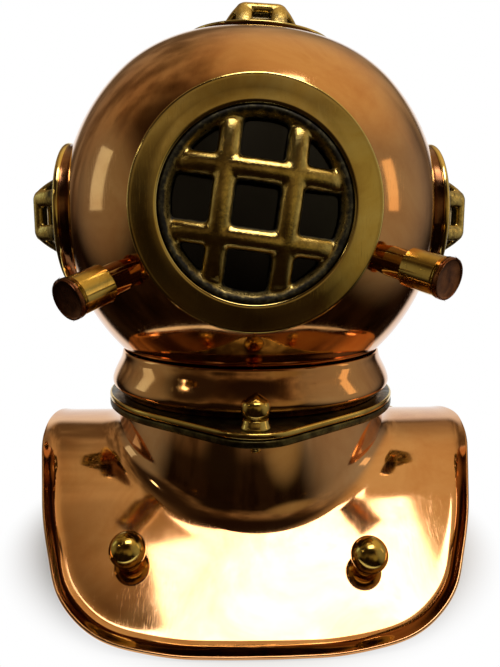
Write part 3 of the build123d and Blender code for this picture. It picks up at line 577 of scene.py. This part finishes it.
def guard_bars(bm, top_at, spacing, twist, length, width, depth):
    """Two bars each way; every bar is a row of rings that ride on the guard's bow."""
    for along_x in (True, False):
        for offset in (-spacing / 2, spacing / 2):
            rod = bmesh.new()
            bmesh.ops.create_cone(rod, cap_ends=True, segments=20, radius1=0.5, radius2=0.5,
                                  depth=1.0)
            walls = [e for e in rod.edges if abs(e.verts[0].co.z - e.verts[1].co.z) > 0.5]
            bmesh.ops.subdivide_edges(rod, edges=walls, cuts=47)
            for v in rod.verts:
                run, beside = v.co.z * length, offset + v.co.x * width
                x, y = (run, beside) if along_x else (beside, run)
                middle = sqrt(run**2 + offset**2)
                v.co = Vector((x, y, top_at(middle) - depth / 2 + v.co.y * depth))
            rod.transform(Matrix.Rotation(radians(twist), 4, "Z"))
            join(bm, rod)


def window_guard(name, material, rim_profile, top_at, bars, grain, smoothing):
    """Guard cast in one: bars and rim run into each other with soft corners."""
    cast = turned(rim_profile, closed=True, steps=120)
    guard_bars(cast, top_at, **bars)
    cast.transform(aim(name))
    piece = put(cast, f"{name}_cast_guard", "bonnet", "cast_brass", [material],
                f"{name}_window_guard")
    modifier(piece, "REMESH", mode="VOXEL", voxel_size=grain * mm, use_smooth_shade=True)
    modifier(piece, "SMOOTH", factor=0.6, iterations=smoothing)


# Front bars: radius of their bow, height of its top, and how their ends dive into the rim
front_bow = 66.0
front_apex = 57.6
dive_start, dive_run, dive_depth = 20.5, 4.5, 1.6


def front_top(radius):
    """Height of the front bars' tops over the dome's centre; their ends dive into the rim."""
    bow = front_apex - front_bow + sqrt(front_bow**2 - radius**2)
    return bow - dive_depth * max(0.0, (radius - dive_start) / dive_run)**2


front_rim = [(25.3, 50.4), (25.3, 53.5), (25.1, 53.9), (24.3, 53.9), (23.2, 53.0), (22.4, 51.8),
             (22.0, 50.4)]
bow_middle = dome_centre + window_axes["front"][0] * (front_apex - front_bow)
front_metal = cast_metal("sand-cast brass, front guard", "front", low=63.8, high=65.6,
                         rim_reach=24.2, bow_centre=bow_middle)
window_guard("front", front_metal, front_rim, front_top,
             bars=dict(spacing=17.6, twist=-7.8, length=48.5, width=6.3, depth=5.2),
             grain=0.32, smoothing=34)

# Cages of the side and top windows: how far out they are flat, and how far they take to fall
cage_flat, cage_fall = 7.8, 6.8


def port_top(reach, rim):
    """Returns the height by radius of a cage: flat on top, then down to the rim."""
    def height(radius):
        fall = max(0.0, (radius - cage_flat) / cage_fall)
        return reach - (reach - rim) * fall**1.5
    return height


for name, reach in (("left", 71.6), ("right", 71.6), ("top", 66.6)):
    face = port_rims[name] - port_dish
    crown = face + 0.9
    port_rim = [(15.1, face - 1.9), (15.1, face + 0.5), (13.6, crown), (12.5, face + 0.2),
                (12.5, face - 1.9)]
    base = dome_centre.dot(window_axes[name][0])
    port_metal = cast_metal(f"sand-cast brass, {name} guard", name, low=base + face,
                            high=base + reach + 2, rim_reach=15.5)
    window_guard(name, port_metal, port_rim, port_top(reach, crown),
                 bars=dict(spacing=11.0, twist=0, length=28.6, width=5.4, depth=4.4),
                 grain=0.28, smoothing=16)


# Glass: flat ground panes of clear soda glass, held by turned brass rings from inside. They look
# grey-green over the dark inside of the bonnet, and a film of dust breaks up their shine.
pane = bpy.data.materials.new("flat clear glass")
pane.use_nodes = True
glass_tree = pane.node_tree
glass = glass_tree.nodes["Principled BSDF"]
glass.inputs["Base Color"].default_value = linear("#5E6660")
glass.inputs["Transmission Weight"].default_value = 1.0
glass.inputs["IOR"].default_value = 1.5
glass_place = add_node(glass_tree, "ShaderNodeTexCoord").outputs["Object"]
dust = add_node(glass_tree, "ShaderNodeTexNoise", {"Vector": glass_place}, Scale=1 / (5 * mm),
                Detail=5.0)
dust_range = add_node(glass_tree, "ShaderNodeMapRange", {0: dust.outputs["Fac"]}, From_Min=0.35,
                      From_Max=0.8, To_Min=0.02, To_Max=0.16)
glass_tree.links.new(dust_range.outputs[0], glass.inputs["Roughness"])
for name in window_axes:
    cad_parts[f"{name}_window_glass"].material_slots[0].material = pane
    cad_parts[f"{name}_glass_retainer"].material_slots[0].material = turned_brass


# Short front pipes: copper or brass tube soldered into the dome, a turned brass sleeve pushed over
# it, and a copper disc soldered on the end with a thin rolled edge.
def heading(azimuth, elevation):
    """Unit vector by azimuth from straight ahead and elevation."""
    turn, rise = radians(azimuth), radians(elevation)
    return Vector((sin(turn) * cos(rise), -cos(turn) * cos(rise), sin(rise)))


def pointing(axis):
    """Matrix with its origin at the dome's centre and Z along an axis."""
    return Matrix.Translation(dome_centre) @ z_onto(axis)


# Copper that is soldered, wiped and left: red-brown, satin, with a small ripple from the heat
end_copper = metal("tarnished copper disc", ((0.3, "#54301F"), (0.5, "#84502F"), (0.7, "#A0653C")),
                   grain=5, roughness=(0.2, 0.42), waves=(4, 0.06), scratch_depth=0.006)

tube_radius = 4.2
tube_foot = 58.6
tube_profile = [(3.3, tube_foot), (tube_radius, tube_foot), (tube_radius, 78.75), (3.3, 78.75)]
sleeve_profile = [(4.25, 68.0), (5.3, 68.0), (5.3, 77.3), (5.42, 77.8), (5.55, 78.2), (5.55, 78.7),
                  (4.25, 78.7)]
disc_profile = [(0, 78.8), (5.55, 78.8), (5.6, 79.3), (5.55, 79.85), (5.3, 80.0), (5.05, 79.85),
                (4.8, 79.55), (3.0, 79.45), (0, 79.4)]
for side, azimuth, elevation, tube_metal in (("left", -38.5, -16.5, polished_copper),
                                             ("right", 38.5, -12.7, turned_brass)):
    stand = pointing(heading(azimuth, elevation))
    tube = turned(tube_profile, stand, steps=64, closed=True)
    soften(tube, 0.1, 2, radians(50))
    put(tube, f"{side}_tube", "bonnet", "copper_sheet", [tube_metal], f"{side}_pipe_tube")
    sleeve = turned(sleeve_profile, stand, steps=80, closed=True)
    soften(sleeve, 0.15, 3, radians(50))
    sleeve_piece = put(sleeve, f"{side}_sleeve", "bonnet", "turned_brass", [turned_brass],
                       f"{side}_pipe_sleeve")
    modifier(sleeve_piece, "WEIGHTED_NORMAL", keep_sharp=True)
    disc = turned(disc_profile, stand, steps=80)
    soften(disc, 0.08, 2, radians(50))
    disc_piece = put(disc, f"{side}_end_disc", "bonnet", "copper_sheet", [end_copper],
                     f"{side}_pipe_cap")
    modifier(disc_piece, "WEIGHTED_NORMAL", keep_sharp=True)


# Goosenecks: two short copper elbows low on the back of the dome, each in a brass collar, with a
# brass cap on its end.
elbow_wall = 0.9
elbow_dip = 30.0
elbow_reach = dome_radius + 7.0
elbow_drop = 11.0
bend_radius = 9.0
bend_angle = radians(90.0 - elbow_dip)
bend_tangent = bend_radius * tan(bend_angle / 2)
seat_profile = [(4.25, 61.0), (6.2, 60.9), (6.2, 61.6), (6.0, 62.1), (5.3, 62.5), (5.0, 63.2),
                (4.6, 63.5), (4.25, 63.5)]
lid_profile = [(0, 0.15), (4.4, 0.0), (5.1, 0.2), (5.5, 0.7), (5.5, 3.5), (5.2, 4.0), (4.3, 4.0),
               (4.3, 1.0), (0, 1.0)]


def open_edges_of(geometry):
    """The edges with one face in what an operator returned."""
    return [g for g in geometry if isinstance(g, bmesh.types.BMEdge) and g.is_boundary]


for side, azimuth in (("left", -128.5), ("right", 131.5)):
    axis = heading(azimuth, -elbow_dip)
    across = axis.cross(Vector((0, 0, -1))).normalized()
    inward = across.cross(axis).normalized()
    elbow = bmesh.new()
    bmesh.ops.create_circle(elbow, cap_ends=False, segments=48, radius=tube_radius)
    elbow.transform(Matrix.Translation(axis * tube_foot) @ z_onto(axis))
    grown = bmesh.ops.extrude_edge_only(elbow, edges=elbow.edges[:])["geom"]
    run = elbow_reach - bend_tangent - tube_foot
    bmesh.ops.translate(elbow, vec=axis * run, verts=verts_of(grown))
    corner = axis * (elbow_reach - bend_tangent) + inward * bend_radius
    bent = bmesh.ops.spin(elbow, geom=verts_of(grown) + open_edges_of(grown), cent=corner,
                          axis=across, angle=bend_angle, steps=14)
    mouth = open_edges_of(bent["geom_last"])
    drop = bmesh.ops.extrude_edge_only(elbow, edges=mouth)["geom"]
    bmesh.ops.translate(elbow, vec=(0, 0, bend_tangent - elbow_drop), verts=verts_of(drop))
    bmesh.ops.remove_doubles(elbow, verts=elbow.verts[:], dist=1e-4)
    bmesh.ops.translate(elbow, vec=dome_centre, verts=elbow.verts[:])
    bmesh.ops.recalc_face_normals(elbow, faces=elbow.faces[:])
    elbow_piece = put(elbow, f"{side}_elbow", "bonnet", "copper_sheet", [polished_copper],
                      f"{side}_gooseneck")
    modifier(elbow_piece, "SOLIDIFY", thickness=elbow_wall * mm, offset=-1.0)
    seat = turned(seat_profile, pointing(axis), steps=64, closed=True)
    soften(seat, 0.1, 2, radians(45))
    put(seat, f"{side}_elbow_collar", "bonnet", "turned_brass", [turned_brass],
        f"{side}_gooseneck_collar")
    low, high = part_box(f"{side}_gooseneck_cap")
    under = ((low[0] + high[0]) / 2 / mm, (low[1] + high[1]) / 2 / mm, low[2] / mm)
    lid = turned(lid_profile, Matrix.Translation(under), steps=64)
    soften(lid, 0.12, 2, radians(45))
    put(lid, f"{side}_elbow_cap", "bonnet", "turned_brass", [turned_brass], f"{side}_gooseneck_cap")


# Corselet: one copper sheet bent to a saddle, raised into the neck boss, with its edge turned up
# all round by hammering over a stake, so the rim wavers a little. It is buffed like the dome
# outside and left dull inside, painted dark there as shade.
ridge_height = 40.2
ridge_radius = 70.0
slope = radians(36.3)
bend_reach = ridge_radius * sin(slope)
sheet_wall = 1.0
droop_start, droop_run, droop_depth = 46.0, 30.0, 1.1


def saddle(y):
    """Height of the sheet's outer face, which droops a little towards the edge of each bib."""
    reach = abs(y)
    if reach < bend_reach:
        return ridge_height - ridge_radius + sqrt(ridge_radius**2 - reach**2)
    droop = droop_depth * (max(0.0, reach - droop_start) / droop_run)**2
    fall = (reach - bend_reach) * tan(slope)
    return ridge_height - ridge_radius * (1 - cos(slope)) - fall - droop


def saddle_normal(y):
    """Unit vector square to the sheet."""
    reach = min(abs(y), bend_reach)
    lean = atan2(reach, sqrt(ridge_radius**2 - reach**2))
    return Vector((0, sin(lean) * (1 if y > 0 else -1), cos(lean)))


# Outline shares: forward and sideways, going round from the front point to the right shoulder,
# and on from there to the rear point. The shifts move the sheet's two halves to the right.
front_shares = ((1.0, 0.0), (0.999, 0.14), (0.995, 0.27), (0.983, 0.38), (0.95, 0.54), (0.9, 0.64),
                (0.83, 0.72), (0.73, 0.777), (0.62, 0.83), (0.49, 0.875), (0.37, 0.915),
                (0.2, 0.965), (0.1, 0.985), (0.0, 1.0))
rear_shares = ((0.0, 1.0), (0.12, 0.999), (0.25, 0.995), (0.48, 0.98), (0.66, 0.945), (0.79, 0.875),
               (0.88, 0.775), (0.94, 0.64), (0.98, 0.44), (0.995, 0.22), (1.0, 0.0))
sheet_half_width = 72.9
sheet_reach = 76.4
right_shift = 1.0
left_shift = -2.7


def outline_table(shift):
    """Angle and reach of the outline's points, from the front point round to the rear one."""
    shares = [(-forward, forward, wide) for forward, wide in front_shares]
    shares += [(back, back, wide) for back, wide in rear_shares[1:]]
    points = [(along * sheet_reach, wide * sheet_half_width + shift * (1 - end))
              for along, end, wide in shares]
    return [(atan2(x, -y), sqrt(x * x + y * y)) for y, x in points]


right_table = outline_table(right_shift)
left_table = outline_table(left_shift)


def outline_reach(angle):
    """Reach of the sheet's edge at an angle from straight ahead, positive to the right. A smooth
    curve through the outline's points: a and r are the angle and reach of the four nearest, m the
    slopes at the middle two."""
    table = right_table if angle > 0 else left_table
    turn = abs(angle)
    for index in range(len(table) - 1):
        if turn <= table[index + 1][0] or index == len(table) - 2:
            break
    a1, r1 = table[index]
    a2, r2 = table[index + 1]
    a0, r0 = table[index - 1] if index else (-a2, r2)
    a3, r3 = table[index + 2] if index + 2 < len(table) else (2 * pi - a1, r1)
    share = (turn - a1) / (a2 - a1)
    m1 = (r2 - r0) / (a2 - a0) * (a2 - a1)
    m2 = (r3 - r1) / (a3 - a1) * (a2 - a1)
    s2, s3 = share**2, share**3
    return ((2 * s3 - 3 * s2 + 1) * r1 + (s3 - 2 * s2 + share) * m1
            + (3 * s2 - 2 * s3) * r2 + (s3 - s2) * m2)


boss_top_radius = 44.5
boss_top = 47.4
boss_drop = 26.0
boss_spread = 3.2


def boss_radius(z):
    """Radius of the boss at a height: nearly straight, with a slight bulge down to its foot."""
    share = min(1.0, max(0.0, boss_top - z) / boss_drop)
    return boss_top_radius + boss_spread * sin(share * pi / 2)**0.8


def boss_foot(angle):
    """Height and radius where the boss meets the sheet at an angle, closed in on by turns."""
    z = 30.0
    for _ in range(30):
        radius = boss_radius(z)
        z = saddle(radius * cos(angle))
    return z, radius


# Rim rows: distance past the outline and height over the sheet. At the shoulders the rim lies low,
# and it stands up over some way to the front and, from further back, over some way to the rear.
rim_rows = ((-4.4, 0.0), (-3.4, 0.06), (-2.5, 0.25), (-1.7, 0.6), (-1.0, 1.05), (-0.4, 1.5),
            (0.05, 1.8), (0.35, 2.05))
low_rim = 0.15
front_standing, rear_lying, rear_standing = 24, 22, 26
rim_waver = 0.05
fillet = 5.0
boss_rows, blend_rows, field_rows = 14, 6, 16
around = 270
sheet = bmesh.new()
first_ring = bmesh.ops.create_circle(sheet, cap_ends=False, segments=around,
                                     radius=boss_top_radius)["verts"]
bmesh.ops.translate(sheet, vec=(0, 0, boss_top), verts=first_ring)


def sheet_point(angle, row):
    """Place of a row on the sheet at an angle: boss, fillet, field, then the turned-up rim."""
    outward = Vector((sin(angle), -cos(angle), 0))
    foot_z, foot_radius = boss_foot(angle)
    blend_top = foot_z + fillet
    if row <= boss_rows:
        z = boss_top + (blend_top - boss_top) * row / boss_rows
        return outward * boss_radius(z) + Vector((0, 0, z))
    start = outward * boss_radius(blend_top) + Vector((0, 0, blend_top))
    knee = outward * foot_radius + Vector((0, 0, foot_z))
    end = outward * (foot_radius + fillet)
    end.z = saddle(end.y)
    row -= boss_rows
    if row <= blend_rows:
        share = row / blend_rows
        return start * (1 - share)**2 + knee * 2 * share * (1 - share) + end * share**2
    row -= blend_rows
    reach = outline_reach(angle)
    inner = reach + rim_rows[0][0]
    if row <= field_rows:
        share = row / field_rows
        spot = outward * (foot_radius + fillet + (inner - foot_radius - fillet) * share)
        spot.z = saddle(spot.y)
        return spot
    back, rise = rim_rows[row - field_rows]
    waver = 1 + rim_waver * noise.noise(Vector((angle * 2.5, 0, 3)))
    spot = outward * (reach + back)
    spot.z = saddle(spot.y)
    if spot.y < 0:
        standing = -spot.y / front_standing
    else:
        standing = (spot.y - rear_lying) / rear_standing
    stand = low_rim + (1 - low_rim) * min(1.0, max(0.0, standing))
    return spot + saddle_normal(spot.y) * rise * waver * stand


rows = boss_rows + blend_rows + field_rows + len(rim_rows) - 1
ring_edges = sheet.edges[:]
for row in range(1, rows + 1):
    grown = bmesh.ops.extrude_edge_only(sheet, edges=ring_edges)["geom"]
    ring_edges = open_edges_of(grown)
    for v in verts_of(grown):
        v.co = sheet_point(atan2(v.co.x, -v.co.y), row)
bmesh.ops.recalc_face_normals(sheet, faces=sheet.faces[:])
if sum(f.normal.z for f in sheet.faces) < 0:
    bmesh.ops.reverse_faces(sheet, faces=sheet.faces[:])

# Thicker copper sheet, hammered and buffed: a paler orange than the dome, with longer waves
corselet_copper = metal("buffed copper corselet",
                        ((0.25, "#C08452"), (0.45, "#D29963"), (0.62, "#DCA873"), (0.8, "#CC9159")),
                        grain=26, roughness=(0.05, 0.11), waves=(24, 0.05), scratch_depth=0.0008)
# Above, the buffed copper; underneath, the dull copper, painted dark as shade
sheet_piece = put(sheet, "copper_corselet", "corselet", "copper_sheet",
                  [corselet_copper, dull_copper_painted_shade], "corselet_shell")
modifier(sheet_piece, "SOLIDIFY", thickness=sheet_wall * mm, offset=-1.0, material_offset=1,
         material_offset_rim=0, use_even_offset=True)
modifier(sheet_piece, "SUBSURF", levels=1, render_levels=1)


# Ball studs: brass balls turned in one with a short neck, a collar and a shank, which is screwed
# through the corselet's sheet and held by a nut inside.
# Place of each across and along the sheet, with the ball's radius
balls = {
    "front_left": (-34.6, -56.2, 5.0),
    "front_right": (30.3, -58.0, 5.0),
    "rear_left": (-57.5, 49.0, 4.2),
    "rear_right": (63.0, 49.0, 4.2),
}
shank_profile = [(0, -5.2), (1.2, -5.2), (1.5, -4.8), (1.5, -0.1), (2.9, -0.1), (2.9, 0.35),
                 (2.65, 0.6)]
ball_foot = 0.5
neck_turn = 32
arc_steps = 28
for name, (across, along, radius) in balls.items():
    square = z_onto(saddle_normal(along))
    stand = Matrix.Translation((across, along, saddle(along))) @ square
    turns = [radians(neck_turn + (180 - neck_turn) * i / arc_steps) for i in range(arc_steps)]
    arc = [(radius * sin(turn), ball_foot + radius - radius * cos(turn)) for turn in turns]
    knob = turned(shank_profile + arc + [(0, ball_foot + 2 * radius)], stand, steps=64)
    put(knob, f"{name}_knob", "corselet", "turned_brass", [turned_brass], f"{name}_ball_stud")
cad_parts["ball_stud_nuts"].material_slots[0].material = turned_brass


# Clamp studs and finial nuts: a threaded brass stud through both flanges, a flared washer and a
# pointed nut turned from bar, at the front and the rear point.
pitch = 0.5
thread_turns = 23
turn_steps = 20
thread_foot = 44.75
crest, root = 1.48, 1.2
core_profile = [(0, 44.8), (1.1, 44.8), (1.3, 45.0), (1.3, 58.2), (1.1, 58.45), (0, 58.45)]
skirt_profile = [(1.55, 51.65), (4.25, 51.65), (4.3, 52.2), (4.1, 52.5), (3.75, 53.4),
                 (3.55, 54.3), (1.55, 54.35)]
nut_profile = [(1.55, 54.42), (3.3, 54.42), (3.35, 54.65), (3.4, 54.9), (3.75, 55.4), (4.0, 56.1),
               (4.1, 57.0), (4.08, 57.9), (3.95, 58.6), (3.7, 59.1), (3.35, 59.45), (0.35, 61.55),
               (0, 61.6), (0, 59.2), (1.55, 59.2)]
for end, way in (("front", -1), ("rear", 1)):
    spot = Matrix.Translation((0, way * stud_reach, 0))
    thread = bmesh.new()
    tooth = [thread.verts.new((r, 0, thread_foot + z))
             for r, z in ((root, 0), (crest, pitch / 2), (root, pitch))]
    wire = [thread.edges.new(pair) for pair in zip(tooth, tooth[1:])]
    bmesh.ops.spin(thread, geom=tooth + wire, cent=(0, 0, 0), axis=(0, 0, 1),
                   dvec=(0, 0, pitch / turn_steps), angle=2 * pi * thread_turns,
                   steps=turn_steps * thread_turns)
    bmesh.ops.remove_doubles(thread, verts=thread.verts[:], dist=1e-3)
    bmesh.ops.recalc_face_normals(thread, faces=thread.faces[:])
    join(thread, turned(core_profile, steps=32))
    thread.transform(spot)
    put(thread, f"{end}_threaded_stud", "corselet", "turned_brass", [turned_brass], f"{end}_stud")
    skirt = turned(skirt_profile, spot, steps=64, closed=True)
    soften(skirt, 0.12, 2, radians(45))
    put(skirt, f"{end}_flared_washer", f"{end}_washer", "turned_brass", [turned_brass],
        f"{end}_washer")
    nut = turned(nut_profile, spot, steps=64)
    soften(nut, 0.1, 2, radians(40))
    put(nut, f"{end}_pointed_nut", f"{end}_nut", "turned_brass", [turned_brass],
        f"{end}_finial_nut")
